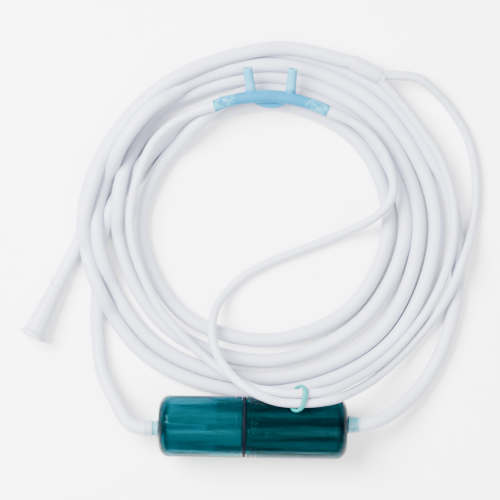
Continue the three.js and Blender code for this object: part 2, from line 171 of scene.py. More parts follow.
def moulding_group():
    """Fine unevenness of moulded or drawn silicone: a height, a cloudy mask and a roughness change."""
    group, source, out = new_group(
        "moulded_surface",
        [("Scale", "NodeSocketFloat", 300.0), ("Stretch", "NodeSocketVector", (1.0, 1.0, 1.0))],
        [("Height", "NodeSocketFloat"), ("Cloud", "NodeSocketFloat"), ("Grain", "NodeSocketFloat")],
    )
    nodes, links = group.nodes, group.links
    place = nodes.new("ShaderNodeTexCoord")
    stretch = nodes.new("ShaderNodeVectorMath")
    stretch.operation = "MULTIPLY"
    links.new(place.outputs["Object"], stretch.inputs[0])
    links.new(source.outputs["Stretch"], stretch.inputs[1])
    fine = nodes.new("ShaderNodeTexNoise")
    fine.inputs["Detail"].default_value = 3
    links.new(stretch.outputs[0], fine.inputs["Vector"])
    links.new(source.outputs["Scale"], fine.inputs["Scale"])
    slow = nodes.new("ShaderNodeTexNoise")
    slow.inputs["Scale"].default_value = 60
    slow.inputs["Detail"].default_value = 2
    links.new(stretch.outputs[0], slow.inputs["Vector"])
    cloud = colour_ramp(nodes, [(0.35, (0, 0, 0)), (0.65, (1, 1, 1))])
    links.new(slow.outputs["Fac"], cloud.inputs["Fac"])
    links.new(fine.outputs["Fac"], out.inputs["Height"])
    links.new(cloud.outputs["Color"], out.inputs["Cloud"])
    links.new(fine.outputs["Fac"], out.inputs["Grain"])
    return group


def drawn_tube_group():
    """Faint lines and slow colour drift along a drawn tube, from its UV map."""
    group, source, out = new_group(
        "drawn_tube",
        [("Lines", "NodeSocketFloat", 14.0), ("Drift", "NodeSocketFloat", 18.0)],
        [("Height", "NodeSocketFloat"), ("Drift", "NodeSocketFloat")],
    )
    nodes, links = group.nodes, group.links
    place = nodes.new("ShaderNodeUVMap")
    split = nodes.new("ShaderNodeSeparateXYZ")
    links.new(place.outputs["UV"], split.inputs[0])
    around = nodes.new("ShaderNodeMath")
    around.operation = "MULTIPLY"
    links.new(split.outputs["X"], around.inputs[0])
    links.new(source.outputs["Lines"], around.inputs[1])
    lines_at = nodes.new("ShaderNodeCombineXYZ")
    links.new(around.outputs[0], lines_at.inputs["X"])
    links.new(split.outputs["Y"], lines_at.inputs["Y"])
    lines = nodes.new("ShaderNodeTexNoise")
    lines.inputs["Scale"].default_value = 4
    lines.inputs["Detail"].default_value = 2
    links.new(lines_at.outputs[0], lines.inputs["Vector"])
    along = nodes.new("ShaderNodeMath")
    along.operation = "MULTIPLY"
    links.new(split.outputs["Y"], along.inputs[0])
    links.new(source.outputs["Drift"], along.inputs[1])
    drift = nodes.new("ShaderNodeTexNoise")
    drift.noise_dimensions = "1D"
    drift.inputs["Scale"].default_value = 1
    links.new(along.outputs[0], drift.inputs["W"])
    links.new(lines.outputs["Fac"], out.inputs["Height"])
    links.new(drift.outputs["Fac"], out.inputs["Drift"])
    return group


MOULDED = moulding_group()
DRAWN = drawn_tube_group()


# Colours

HOSE_DEEP = (0.44, 0.45, 0.56)
HOSE_LIGHT = (0.50, 0.51, 0.62)
CONNECTOR_DEEP = (0.42, 0.43, 0.52)
CONNECTOR_LIGHT = (0.48, 0.49, 0.58)
AQUA_DEEP = (0.0, 0.19, 0.18)
AQUA_LIGHT = (0.0, 0.24, 0.23)
SEAL_DEEP = (0.001, 0.003, 0.006)
SEAL_LIGHT = (0.002, 0.005, 0.009)
CAP_DEEP = (0.0, 0.13, 0.17)
CAP_LIGHT = (0.002, 0.29, 0.35)
CUP_DEEP = (0.0, 0.05, 0.065)
CUP_LIGHT = (0.001, 0.15, 0.18)
# Dark teal painted as shade on the trap's domed ends and on its rims where the wall is seen edge on
TEAL_PAINTED_RIM_SHADE = (0.0, 0.015, 0.025)
NOSE_DEEP = (0.0, 0.12, 0.24)
NOSE_MID = (0.0, 0.16, 0.31)
NOSE_PALE = (0.04, 0.33, 0.44)
PRONG_PALE = (0.05, 0.30, 0.44)
PORT_WHITE = (0.34, 0.40, 0.44)
PORT_BLUE = (0.07, 0.27, 0.33)
PORT_CYAN = (0.01, 0.18, 0.23)
PORT_TEAL = (0.0, 0.06, 0.09)

# Where a port changes colour: place along it in millimetres, colour
INLET_BANDS = [
    (-7.2, PORT_WHITE), (-3.6, PORT_WHITE), (-2.8, PORT_BLUE), (0.5, PORT_BLUE), (4.0, PORT_CYAN),
    (24.0, PORT_CYAN),
]
OUTLET_BANDS = [
    (-5.7, PORT_CYAN), (-0.5, PORT_TEAL), (0.6, PORT_TEAL), (1.0, PORT_BLUE), (2.8, PORT_BLUE),
    (3.2, PORT_CYAN), (4.0, PORT_BLUE), (4.5, PORT_CYAN), (5.2, PORT_BLUE), (6.4, PORT_WHITE),
]

# Where the nosepiece turns mottled over its sockets and pale on its prongs, in the plan
NOSE_SOCKETS_X = ((-13.0, -15.5), (20.5, 23.0))
NOSE_PRONGS_Y = (64.0, 66.5)

SILICONE_IOR = 1.41
SILICONE_DEPTH = 2 * MM


def start_material(name):
    material = bpy.data.materials.new(name)
    material.use_nodes = True
    nodes, links = material.node_tree.nodes, material.node_tree.links
    shader = nodes["Principled BSDF"]
    return material, nodes, links, shader


def place_group(nodes, group, **values):
    node = nodes.new("ShaderNodeGroup")
    node.node_tree = group
    for name, value in values.items():
        node.inputs[name].default_value = value
    return node


def mix_colours(nodes, links, mask, *colours):
    """Two colours, or earlier mixes, by a mask."""
    mix = nodes.new("ShaderNodeMix")
    mix.data_type = "RGBA"
    for socket, colour in zip(mix.inputs[6:8], colours):
        if isinstance(colour, tuple):
            socket.default_value = (*colour, 1)
        else:
            links.new(colour.outputs[2], socket)
    links.new(mask, mix.inputs[0])
    return mix


def range_of(nodes, links, value, low, high):
    scale = nodes.new("ShaderNodeMapRange")
    scale.inputs["To Min"].default_value = low
    scale.inputs["To Max"].default_value = high
    links.new(value, scale.inputs["Value"])
    return scale.outputs[0]


def masked(nodes, links, value, start, end):
    """Nought before start, one after end, with a smooth change between."""
    ramp = nodes.new("ShaderNodeMapRange")
    ramp.interpolation_type = "SMOOTHSTEP"
    ramp.inputs["From Min"].default_value = start
    ramp.inputs["From Max"].default_value = end
    links.new(value, ramp.inputs["Value"])
    return ramp.outputs[0]


def combined(nodes, links, operation, first, second):
    node = nodes.new("ShaderNodeMath")
    node.operation = operation
    for socket, value in zip(node.inputs, (first, second)):
        if isinstance(value, float):
            socket.default_value = value
        else:
            links.new(value, socket)
    return node.outputs[0]


def add_bump(nodes, links, shader, height, distance, strength=1.0):
    bump = nodes.new("ShaderNodeBump")
    bump.inputs["Distance"].default_value = distance
    bump.inputs["Strength"].default_value = strength
    links.new(height, bump.inputs["Height"])
    links.new(bump.outputs["Normal"], shader.inputs["Normal"])


def light_into(shader, share, radius):
    """Lets light a little way into the surface, as silicone does."""
    shader.inputs["Subsurface Weight"].default_value = share
    shader.inputs["Subsurface Radius"].default_value = radius
    shader.inputs["Subsurface Scale"].default_value = SILICONE_DEPTH
    shader.inputs["IOR"].default_value = SILICONE_IOR


def metres_along(nodes, links):
    """How far along a turned piece a point lies, from the V of its UV map."""
    place = nodes.new("ShaderNodeUVMap")
    split = nodes.new("ShaderNodeSeparateXYZ")
    links.new(place.outputs["UV"], split.inputs[0])
    return split.outputs["Y"]


def hose_silicone():
    material, nodes, links, shader = start_material("hose_silicone")
    drawn = place_group(nodes, DRAWN)
    mix = mix_colours(nodes, links, drawn.outputs["Drift"], HOSE_DEEP, HOSE_LIGHT)
    links.new(mix.outputs[2], shader.inputs["Base Color"])
    links.new(range_of(nodes, links, drawn.outputs["Height"], 0.36, 0.5), shader.inputs["Roughness"])
    add_bump(nodes, links, shader, drawn.outputs["Height"], 0.00006, 0.6)
    light_into(shader, 0.12, (0.9, 0.9, 1.0))
    return material


def moulded_silicone(name, deep, light, roughness, subsurface, gloss=0.5):
    """Plain moulded silicone, rubber or soft plastic, a little cloudy."""
    material, nodes, links, shader = start_material(name)
    moulded = place_group(nodes, MOULDED, Scale=900.0)
    mix = mix_colours(nodes, links, moulded.outputs["Cloud"], deep, light)
    links.new(mix.outputs[2], shader.inputs["Base Color"])
    links.new(range_of(nodes, links, moulded.outputs["Grain"], *roughness), shader.inputs["Roughness"])
    add_bump(nodes, links, shader, moulded.outputs["Height"], 0.00004, 0.5)
    light_into(shader, subsurface, (0.5, 0.8, 1.0))
    shader.inputs["Specular IOR Level"].default_value = gloss
    return material


def trap_plastic():
    """Clear teal plastic, with painted shade over its thicker domed ends and where the wall is seen edge on.
    """
    material, nodes, links, shader = start_material("trap_plastic")
    moulded = place_group(nodes, MOULDED, Scale=340.0, Stretch=(0.05, 1.0, 1.0))
    streaks = masked(nodes, links, moulded.outputs["Grain"], 0.36, 0.62)
    cap = mix_colours(nodes, links, streaks, CAP_DEEP, CAP_LIGHT)
    cup = mix_colours(nodes, links, streaks, CUP_DEEP, CUP_LIGHT)
    facing = nodes.new("ShaderNodeLayerWeight")
    facing.inputs["Blend"].default_value = 0.5
    edge_on = masked(nodes, links, facing.outputs["Facing"], 0.42, 0.8)
    along = metres_along(nodes, links)
    in_cup = masked(nodes, links, along, TRAP_CAP_LENGTH * MM, CUP_MOUTH_X * MM)
    side = mix_colours(nodes, links, in_cup, cap, cup)
    clear_from, dark_to = TRAP_DOME_DEPTH + 0.5, TRAP_DOME_DEPTH - 2.5
    left = masked(nodes, links, along, clear_from * MM, dark_to * MM)
    right = masked(nodes, links, along, (TRAP_END_X - clear_from) * MM, (TRAP_END_X - dark_to) * MM)
    ends = combined(nodes, links, "MAXIMUM", left, right)
    # Painted shade: the base colour turns dark teal over the domed ends and where the wall is seen edge on
    painted_rim_shade = combined(nodes, links, "MAXIMUM", edge_on, combined(nodes, links, "MULTIPLY", ends, 0.9))
    whole = mix_colours(nodes, links, painted_rim_shade, side, TEAL_PAINTED_RIM_SHADE)
    links.new(whole.outputs[2], shader.inputs["Base Color"])
    links.new(range_of(nodes, links, moulded.outputs["Grain"], 0.03, 0.12), shader.inputs["Roughness"])
    add_bump(nodes, links, shader, moulded.outputs["Height"], 0.0003, 0.9)
    shader.inputs["Transmission Weight"].default_value = 0.93
    shader.inputs["IOR"].default_value = 1.12
    shader.inputs["Specular Tint"].default_value = (0.25, 0.8, 0.9, 1)
    return material


def banded_silicone(name, stops, roughness):
    """Silicone whose colour changes along a turned piece, by the V of its UV map, in metres."""
    material, nodes, links, shader = start_material(name)
    start, end = stops[0][0], stops[-1][0]
    along = nodes.new("ShaderNodeMapRange")
    along.inputs["From Min"].default_value = start * MM
    along.inputs["From Max"].default_value = end * MM
    links.new(metres_along(nodes, links), along.inputs["Value"])
    ramp = colour_ramp(nodes, [((place - start) / (end - start), colour) for place, colour in stops])
    links.new(along.outputs[0], ramp.inputs["Fac"])
    links.new(ramp.outputs["Color"], shader.inputs["Base Color"])
    moulded = place_group(nodes, MOULDED, Scale=900.0)
    links.new(range_of(nodes, links, moulded.outputs["Grain"], *roughness), shader.inputs["Roughness"])
    add_bump(nodes, links, shader, moulded.outputs["Height"], 0.00004, 0.5)
    light_into(shader, 0.3, (0.6, 0.9, 1.0))
    return material


def nose_silicone():
    """Blue silicone: paler prongs, and mottled sockets at both ends where the tubes sit inside."""
    material, nodes, links, shader = start_material("nose_silicone")
    moulded = place_group(nodes, MOULDED, Scale=900.0)
    place = nodes.new("ShaderNodeTexCoord")
    split = nodes.new("ShaderNodeSeparateXYZ")
    links.new(place.outputs["Object"], split.inputs[0])
    (left_start, left_end), (right_start, right_end) = NOSE_SOCKETS_X
    prong_start, prong_end = NOSE_PRONGS_Y
    prongs = masked(nodes, links, split.outputs["Y"], PLAN_Y + prong_start * MM, PLAN_Y + prong_end * MM)
    left = masked(nodes, links, split.outputs["X"], PLAN_X + left_start * MM, PLAN_X + left_end * MM)
    right = masked(nodes, links, split.outputs["X"], PLAN_X + right_start * MM, PLAN_X + right_end * MM)
    mottle = nodes.new("ShaderNodeTexNoise")
    mottle.inputs["Scale"].default_value = 420
    mottle.inputs["Detail"].default_value = 2
    links.new(place.outputs["Object"], mottle.inputs["Vector"])
    patches = masked(nodes, links, mottle.outputs["Fac"], 0.38, 0.62)
    ends = combined(nodes, links, "MAXIMUM", left, right)
    sockets = combined(nodes, links, "MULTIPLY", ends, patches)
    body = mix_colours(nodes, links, moulded.outputs["Cloud"], NOSE_DEEP, NOSE_MID)
    pale = combined(nodes, links, "MULTIPLY", sockets, 0.8)
    lit = mix_colours(nodes, links, pale, body, NOSE_PALE)
    whole = mix_colours(nodes, links, prongs, lit, PRONG_PALE)
    links.new(whole.outputs[2], shader.inputs["Base Color"])
    links.new(range_of(nodes, links, moulded.outputs["Grain"], 0.32, 0.45), shader.inputs["Roughness"])
    shader.inputs["Specular IOR Level"].default_value = 0.15
    shader.inputs["Specular Tint"].default_value = (0.3, 0.8, 1.0, 1)
    add_bump(nodes, links, shader, moulded.outputs["Height"], 0.00005, 0.5)
    light_into(shader, 0.3, (0.2, 0.8, 1.0))
    return material


HOSE_SILICONE = hose_silicone()
NOSE_SILICONE = nose_silicone()
RING_AQUA = moulded_silicone("ring_aqua_silicone", AQUA_DEEP, AQUA_LIGHT, (0.2, 0.34), 0.3, gloss=0.12)
CONNECTOR_WHITE = moulded_silicone("connector_white", CONNECTOR_DEEP, CONNECTOR_LIGHT, (0.28, 0.42), 0.15)
SEAL_BLACK = moulded_silicone("seal_black_rubber", SEAL_DEEP, SEAL_LIGHT, (0.35, 0.5), 0.0, gloss=0.04)
INLET_SILICONE = banded_silicone("inlet_silicone", INLET_BANDS, (0.22, 0.36))
OUTLET_SILICONE = banded_silicone("outlet_silicone", OUTLET_BANDS, (0.22, 0.36))
TRAP_TEAL = trap_plastic()


# Routes

LEFT_LEAD = [
    (-83.1, -40, HOSE_LIES_Z), (-83.6, -47, HOSE_LIES_Z), (-83.3, -55, HOSE_LIES_Z), (-82.6, -63, 4),
    (-81.5, -72, 5.5), (-78.5, -81, 8), (-74, -89.5, 11), (-70, -97, 13.4), (-66.8, -101.2, 14.9),
    (-63.4, -103.1, TRAP_R), (-59.8, -103.3, TRAP_R),
]
RIGHT_LEAD = [
    (48.8, -101.6, TRAP_R), (52.5, -101.4, 15.3), (61, -98.2, 12.5), (68.5, -93.5, 9), (76, -87, 6),
    (82, -79.5, 4.3), (87.5, -70.5, 3.6), (91.5, -61, HOSE_LIES_Z), (94.5, -52, HOSE_LIES_Z),
    (96.5, -43, HOSE_LIES_Z), (97.8, -34.5, HOSE_LIES_Z), (98.2, -25.5, HOSE_LIES_Z), (98, -17, HOSE_LIES_Z),
    (97.3, -8.5, HOSE_LIES_Z), (96.5, 0, HOSE_LIES_Z), (95.2, 8, HOSE_LIES_Z), (93.6, 15, HOSE_LIES_Z),
    (92.6, 19.5, HOSE_LIES_Z),
]
END_LEAD = [
    (-91.2, -8, HOSE_LIES_Z), (-93.6, -13.2, HOSE_LIES_Z), (-96.6, -18.8, 3.6), (-99.6, -24.6, 4.1),
    (-101.6, -28.7, 4.42),
]
RIGHT_EAR_TUBE = [
    (33.2, 54.4, NOSE_Z), (38, 52.8, 14.4), (43.5, 50, EAR_RIDES_Z), (49.5, 46.3, EAR_RIDES_Z),
    (55, 41.5, EAR_RIDES_Z), (59.5, 35.5, EAR_RIDES_Z), (62.5, 29.5, EAR_RIDES_Z), (64.5, 23, EAR_RIDES_Z),
    (65.2, 15.5, EAR_RIDES_Z), (63.2, 9.5, EAR_RIDES_Z), (59, 4.5, 13.5), (53.2, 0, 10.8), (46, -3.5, 6.4),
    (36, -8, 3), (23.5, -13, EAR_LIES_Z), (11, -17.5, EAR_LIES_Z), (-0.5, -22.5, EAR_LIES_Z),
    (-10, -28, 2.3), (-17.5, -35, 2.8), (-22.5, -41.5, 6.4), (-25, -48.5, 10.8), (-25.5, -56, 14),
    (-23.5, -64.5, 17), (-19.5, -72, 22.5), (-13.5, -78.5, 28.2), (-6.5, -83.5, 32), (1, -87.1, 32.6),
    (6, -88.9, 31.3), (11, -89.75, 30.6), (17.5, -90.05, 30.5), (24, -89.85, 30.4), (29.5, -89.3, 30),
    (35.5, -88.2, 28.3), (43.5, -85.4, 22), (52.5, -81, 15.5), (61, -75, 10), (69.5, -67.5, 6.5),
    (77.5, -59, 4.8), (85, -49.9, 4.6), (91.6, -39.8, 7.6), (96, -30.5, 9.9), (100, -20.5, 9.6),
    (103.5, -11, 6), (106, -0.5, 2.6), (107.5, 10.5, EAR_LIES_Z), (107.5, 20.5, EAR_LIES_Z),
    (106.5, 29.5, EAR_LIES_Z), (104.5, 38, EAR_LIES_Z), (101, 46.5, 2.3), (96, 54.5, 2.8), (91, 61, 4.4),
    (85, 66.5, 6.8), (79, 71.2, 9.1), (74, 72.5, 9.5),
]
LEFT_EAR_TUBE = [
    (-25.3, 57.4, NOSE_Z), (-30, 55.8, 14.4), (-35.5, 53.5, EAR_RIDES_Z), (-41, 51, EAR_RIDES_Z),
    (-46.5, 47.5, EAR_RIDES_Z), (-51.5, 43, EAR_RIDES_Z), (-55.5, 38, EAR_RIDES_Z), (-61, 26.5, EAR_RIDES_Z),
    (-65, 13, EAR_RIDES_Z), (-66.5, -0.5, EAR_RIDES_Z), (-64.5, -14.5, EAR_RIDES_Z),
    (-59, -29.5, EAR_RIDES_Z), (-51, -44.5, EAR_RIDES_Z), (-40, -57.5, EAR_RIDES_Z), (-33.5, -64, 13.6),
    (-26.5, -70, 14.4), (-19, -75.5, 16.8), (-11, -80.3, 21.4), (-3, -83.2, 26.6), (4, -84, 29.6),
    (11, -85, 30.6), (17.5, -85.3, 30.5), (24, -85.1, 30.4), (29.5, -84.5, 30.2), (35.5, -83.2, 28),
    (43.5, -79.8, 22.3), (52, -75.6, 16), (60, -70.2, 11.2), (67.5, -63.6, 8.3), (74.5, -55.8, 7),
    (80.5, -48, 6.6), (85.6, -39.6, 6.6), (89.6, -31.2, 7), (92.8, -22.5, 8), (94.8, -14, 9.2),
    (95.9, -5.5, 9.6), (96, 3, 9.6), (95, 11.5, 9.6), (93.2, 19.5, 9.6), (90.4, 27.5, 9.6), (86.6, 35.5, 9.6),
    (81.8, 42.5, 9.6), (76.8, 49.5, 9.6), (71.4, 56.5, 9.6), (67.5, 61, 9.5),
]

# Middle lines of the moulded pieces that the tubes go into
Y_BODY = [(44.6, 79.6, Y_Z), (51, 76.3, Y_Z), (58.5, 72.6, Y_Z)]
NOSE_BAR = [
    (-24.8, 57.2, NOSE_Z), (-18, 59.6, NOSE_Z), (-9, 61.4, NOSE_Z), (0, 62.2, NOSE_Z), (9, 61.8, NOSE_Z),
    (18, 60, NOSE_Z), (26, 57.6, NOSE_Z), (32.7, 54.6, NOSE_Z),
]

# How the hoses are drawn and how the coil settles, in millimetres
STEP = 2.0
ROUNDS = 260
PAIRS_KEPT = 10
CONTACT_REACH = 4.0
SAME_RUN = 6 * HOSE_D
SIDEWAYS_GIVE = (0.35, 0.35, 1.0)
LEVELLING = 0.45
SMOOTHING = 0.3
HOLD = 0.12
SINKING = 0.12
PUSH_EACH = 0.2
PUSH_OFF_FIXED = 0.3
LOCKED_RUN = 1.5 * STEP
BRANCH_R = 4.0
TRAP_AXIS_INSET = 8.0
TRAP_AXIS_POINTS = 40

# The coil's turns, seen from above about their own eye: radius at each eighth of a turn,
# anticlockwise from the connector, outermost turn first
COIL_EYE = (3.5, -0.5)
FIRST_HOSE_TURNS = [
    [None, 87.0, 86.5, 92.8, 91.8, 85.8, 85.8, 83.5],
    [80.5, 79.5, 82.5, 87.6, 84.2, 78.7, 78.3, 75.0],
    [73.0, 73.2, 78.5, 77.0, 74.2, 69.8, 67.6, 68.5],
    [66.5, 67.0, 61.0, 65.2, 63.8, 59.4, 59.2, 59.8],
    [60.5, 60.0, 65.5, 83.0],
]
FIRST_HOSE_HEIGHTS = [
    [None, 10.0, 6.0, 10.5, 3.6, 3.6, 3.6, 3.6],
    [8.5, 9.0, 12.0, 15.2, 8.0, 3.6, 3.6, 3.6],
    [5.0, 4.0, 8.0, 10.5, 9.0, 3.6, 3.6, 6.5],
    [6.5, 7.0, 4.5, 4.5, 3.6, 3.6, 3.6, 3.6],
    [3.6, 3.6, 3.6, 3.6],
]

# The second hose's stretch in the coil: bearing, radius, height
SECOND_HOSE_TURN = [
    (45, 86.5, 3.6), (67, 85.0, 3.6), (90, 84.5, 3.6), (115, 86.0, 3.6), (135, 88.0, 3.6), (158, 91.0, 3.6),
    (172, 93.0, 3.6),
]


def on_coil(angle, radius, height):
    turn = math.radians(angle)
    return (COIL_EYE[0] + radius * math.cos(turn), COIL_EYE[1] + radius * math.sin(turn), height)


def catmull_rom(points, step):
    """The same centripetal curve as the frame's tubes, with points a step apart."""
    p = [np.array(v, float) for v in points]
    p = [2 * p[0] - p[1]] + p + [2 * p[-1] - p[-2]]
    dense = []
    for i in range(1, len(p) - 2):
        a, b, c, d = p[i - 1:i + 3]
        ta = 0.0
        tb = ta + max(np.linalg.norm(b - a), 1e-6) ** 0.5
        tc = tb + max(np.linalg.norm(c - b), 1e-6) ** 0.5
        td = tc + max(np.linalg.norm(d - c), 1e-6) ** 0.5
        for t in np.linspace(tb, tc, 24, endpoint=False):
            ab = (tb - t) / (tb - ta) * a + (t - ta) / (tb - ta) * b
            bc = (tc - t) / (tc - tb) * b + (t - tb) / (tc - tb) * c
            cd = (td - t) / (td - tc) * c + (t - tc) / (td - tc) * d
            abc = (tc - t) / (tc - ta) * ab + (t - ta) / (tc - ta) * bc
            bcd = (td - t) / (td - tb) * bc + (t - tb) / (td - tb) * cd
            dense.append((tc - t) / (tc - tb) * abc + (t - tb) / (tc - tb) * bcd)
    dense.append(p[-2])
    return evenly(np.array(dense), step)


def evenly(points, step):
    lengths = np.concatenate([[0], np.cumsum(np.linalg.norm(np.diff(points, axis=0), axis=1))])
    count = max(2, round(lengths[-1] / step) + 1)
    wanted = np.linspace(0, lengths[-1], count)
    return np.column_stack([np.interp(wanted, lengths, points[:, k]) for k in range(3)])


def first_hose_turns():
    knots = [Y_BODY[0]]
    for turn, (radii, heights) in enumerate(zip(FIRST_HOSE_TURNS, FIRST_HOSE_HEIGHTS)):
        for eighth, (radius, height) in enumerate(zip(radii, heights)):
            if radius is not None:
                knots.append(on_coil(45 * (eighth + 1), radius, height))
    return knots


first_coil = catmull_rom(first_hose_turns() + LEFT_LEAD[:1], STEP)
second_turn = [on_coil(*row) for row in SECOND_HOSE_TURN]
second_coil = catmull_rom(RIGHT_LEAD[-1:] + second_turn + END_LEAD[:1], STEP)


def close_pairs(first, second, reach):
    """Indices of the points of two sets that lie within reach of each other."""
    rows, columns = [], []
    for start in range(0, len(first), 200):
        gap = np.linalg.norm(first[start:start + 200, None, :] - second[None, :, :], axis=2)
        row, column = np.nonzero(gap < reach)
        rows.append(row + start)
        columns.append(column)
    return np.concatenate(rows), np.concatenate(columns)


def push_apart(moved, other, rows, columns, reach, share):
    """Moves the points of each pair that is closer than its reach, by a share of what is missing."""
    away = moved[rows] - other[columns]
    gap = np.linalg.norm(away, axis=1) + 1e-9
    press = np.clip(reach - gap, 0, None) * share / gap
    for axis in range(3):
        moved[:, axis] += np.bincount(rows, away[:, axis] * press, len(moved)) * SIDEWAYS_GIVE[axis]


def settle(coils, fixed, rounds):
    """Lets the coil's turns sink on the floor and on each other, and moves them apart where two touch."""
    start = np.vstack(coils)
    here = start.copy()
    owner = np.concatenate([np.full(len(coil), k) for k, coil in enumerate(coils)])
    along = np.concatenate([np.arange(len(coil)) * STEP for coil in coils])
    last = np.concatenate([np.full(len(coil), (len(coil) - 1) * STEP) for coil in coils])
    locked = (along < LOCKED_RUN) | (last - along < LOCKED_RUN)
    inside = np.flatnonzero((along > 0) & (along < last))
    fixed_points = np.vstack([points for points, _ in fixed])
    fixed_reach = HOSE_R + np.concatenate([np.full(len(points), radius) for points, radius in fixed])
    for count in range(rounds):
        if count % PAIRS_KEPT == 0:
            rows, columns = close_pairs(here, here, HOSE_D + CONTACT_REACH)
            apart = (owner[rows] != owner[columns]) | (np.abs(along[rows] - along[columns]) > SAME_RUN)
            rows, columns = rows[apart], columns[apart]
            near, target = close_pairs(here, fixed_points, HOSE_R + TRAP_R + CONTACT_REACH)
            target_reach = fixed_reach[target]
        middle = (here[inside - 1] + here[inside + 1]) / 2
        here[inside, 2] += LEVELLING * (middle[:, 2] - here[inside, 2])
        smoother = SMOOTHING * (middle[:, :2] - here[inside, :2])
        here[inside, :2] += smoother + HOLD * (start[inside, :2] - here[inside, :2])
        here[:, 2] -= SINKING
        for _ in range(2):
            push_apart(here, here.copy(), rows, columns, HOSE_D, PUSH_EACH)
            push_apart(here, fixed_points, near, target, target_reach, PUSH_OFF_FIXED)
            here[:, 2] = np.maximum(here[:, 2], HOSE_LIES_Z)
        here[locked] = start[locked]
    return [here[owner == k] for k in range(len(coils))]


def trap_axis_points():
    cap_low, cap_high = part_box("trap_cap")
    cup_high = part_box("trap_cup")[1]
    y = ((cap_low[1] + cap_high[1]) / 2 - PLAN_Y) / MM
    start = (cap_low[0] - PLAN_X) / MM + TRAP_AXIS_INSET
    end = (cup_high[0] - PLAN_X) / MM - TRAP_AXIS_INSET
    xs = np.linspace(start, end, TRAP_AXIS_POINTS)
    return np.column_stack([xs, y + (xs - start) * math.tan(TRAP_TURN), np.full(len(xs), TRAP_R)])


right_ear = catmull_rom(RIGHT_EAR_TUBE, STEP)
left_ear = catmull_rom(LEFT_EAR_TUBE, STEP)
obstacles = [
    (right_ear, EAR_TUBE_R),
    (left_ear, EAR_TUBE_R),
    (catmull_rom(LEFT_LEAD[2:], STEP), HOSE_R),
    (catmull_rom(RIGHT_LEAD[:-2], STEP), HOSE_R),
    (catmull_rom(Y_BODY[1:], STEP), BRANCH_R),
    (catmull_rom(NOSE_BAR, STEP), NOSE_BODY_W / 2),
    (trap_axis_points(), TRAP_R),
]
first_coil, second_coil = settle([first_coil, second_coil], obstacles, ROUNDS)


def joined(*runs):
    """One even line through several runs that follow on."""
    points = [runs[0]]
    for run in runs[1:]:
        points.append(np.array(run)[1:])
    line = np.vstack(points)
    for _ in range(3):
        line[1:-1] = line[1:-1] * 0.5 + (line[:-2] + line[2:]) * 0.25
    return evenly(line, STEP)


first_hose = joined(first_coil, catmull_rom(LEFT_LEAD, STEP))
second_hose = joined(catmull_rom(RIGHT_LEAD, STEP), second_coil, catmull_rom(END_LEAD, STEP))


# Mesh helpers

SHARP_ANGLE = math.radians(40)
MERGE_REACH = 0.001 * MM


def mesh_data(name, mesh):
    """Finishes a bmesh: outward faces, smooth except at its sharp edges, and turned into mesh data."""
    bmesh.ops.recalc_face_normals(mesh, faces=mesh.faces)
    for face in mesh.faces:
        face.smooth = True
    for edge in mesh.edges:
        edge.smooth = edge.calc_face_angle(0.0) < SHARP_ANGLE
    data = bpy.data.meshes.new(name)
    mesh.to_mesh(data)
    mesh.free()
    return data


def add_piece(name, data, material):
    piece = bpy.data.objects.new(name, data)
    bpy.context.scene.collection.objects.link(piece)
    data.materials.clear()
    data.materials.append(material)
    return piece


def applied(piece):
    """Makes the piece's modifiers part of its mesh."""
    shown = piece.evaluated_get(bpy.context.evaluated_depsgraph_get())
    data = bpy.data.meshes.new_from_object(shown)
    piece.modifiers.clear()
    piece.data = data


def tube_rings(mesh, line, radii, sides):
    """Rings of points round a line of places, carried along it without twisting."""
    tangent = (line[1] - line[0]).normalized()
    side = tangent.orthogonal().normalized()
    rings = []
    for i, point in enumerate(line):
        new_tangent = (line[min(i + 1, len(line) - 1)] - line[max(i - 1, 0)]).normalized()
        side = tangent.rotation_difference(new_tangent) @ side
        side = (side - new_tangent * side.dot(new_tangent)).normalized()
        tangent = new_tangent
        other = tangent.cross(side)
        ring = []
        for k in range(sides):
            turn = 2 * math.pi * k / sides
            out = side * math.cos(turn) + other * math.sin(turn)
            ring.append(mesh.verts.new(point + out * radii[i]))
        rings.append(ring)
    return rings


def skin_rings(mesh, uv, rings, places, closed_loop=False):
    """Faces between rings of points, with U round them and V along them."""
    sides = len(rings[0])
    count = len(rings) if closed_loop else len(rings) - 1
    for i in range(count):
        j = (i + 1) % len(rings)
        for k in range(sides):
            n = (k + 1) % sides
            face = mesh.faces.new((rings[i][k], rings[i][n], rings[j][n], rings[j][k]))
            for loop, (around, along) in zip(face.loops, ((k, i), (k + 1, i), (k + 1, j), (k, j))):
                loop[uv].uv = (around / sides, places[along])


def tube_mesh(name, line_mm, radius_mm, sides=24):
    """A round tube along a line, closed at both ends. The radius is a number, or one for each point."""
    line = [at(p) for p in line_mm]
    radii = np.broadcast_to(np.array(radius_mm, float), len(line)) * MM
    places = [0.0]
    for before, after in zip(line, line[1:]):
        places.append(places[-1] + (after - before).length)
    mesh = bmesh.new()
    uv = mesh.loops.layers.uv.new("tube")
    rings = tube_rings(mesh, line, radii, sides)
    skin_rings(mesh, uv, rings, places)
    mesh.faces.new(rings[0])
    mesh.faces.new(rings[-1])
    return mesh_data(name, mesh)


def eased(profile, radius, steps=4):
    """A turned piece's outline with its corners rounded."""
    eased_profile = []
    for i, corner in enumerate(profile):
        if corner[1] == 0:
            eased_profile.append(tuple(corner))
            continue
        middle = np.array(corner, float)
        before = np.array(profile[i - 1], float) - middle
        after = np.array(profile[(i + 1) % len(profile)], float) - middle
        cut = min(radius, 0.45 * np.linalg.norm(before), 0.45 * np.linalg.norm(after))
        first = middle + before / np.linalg.norm(before) * cut
        last = middle + after / np.linalg.norm(after) * cut
        for t in np.linspace(0, 1, steps + 1):
            eased_profile.append(tuple((1 - t) ** 2 * first + 2 * t * (1 - t) * middle + t ** 2 * last))
    return eased_profile


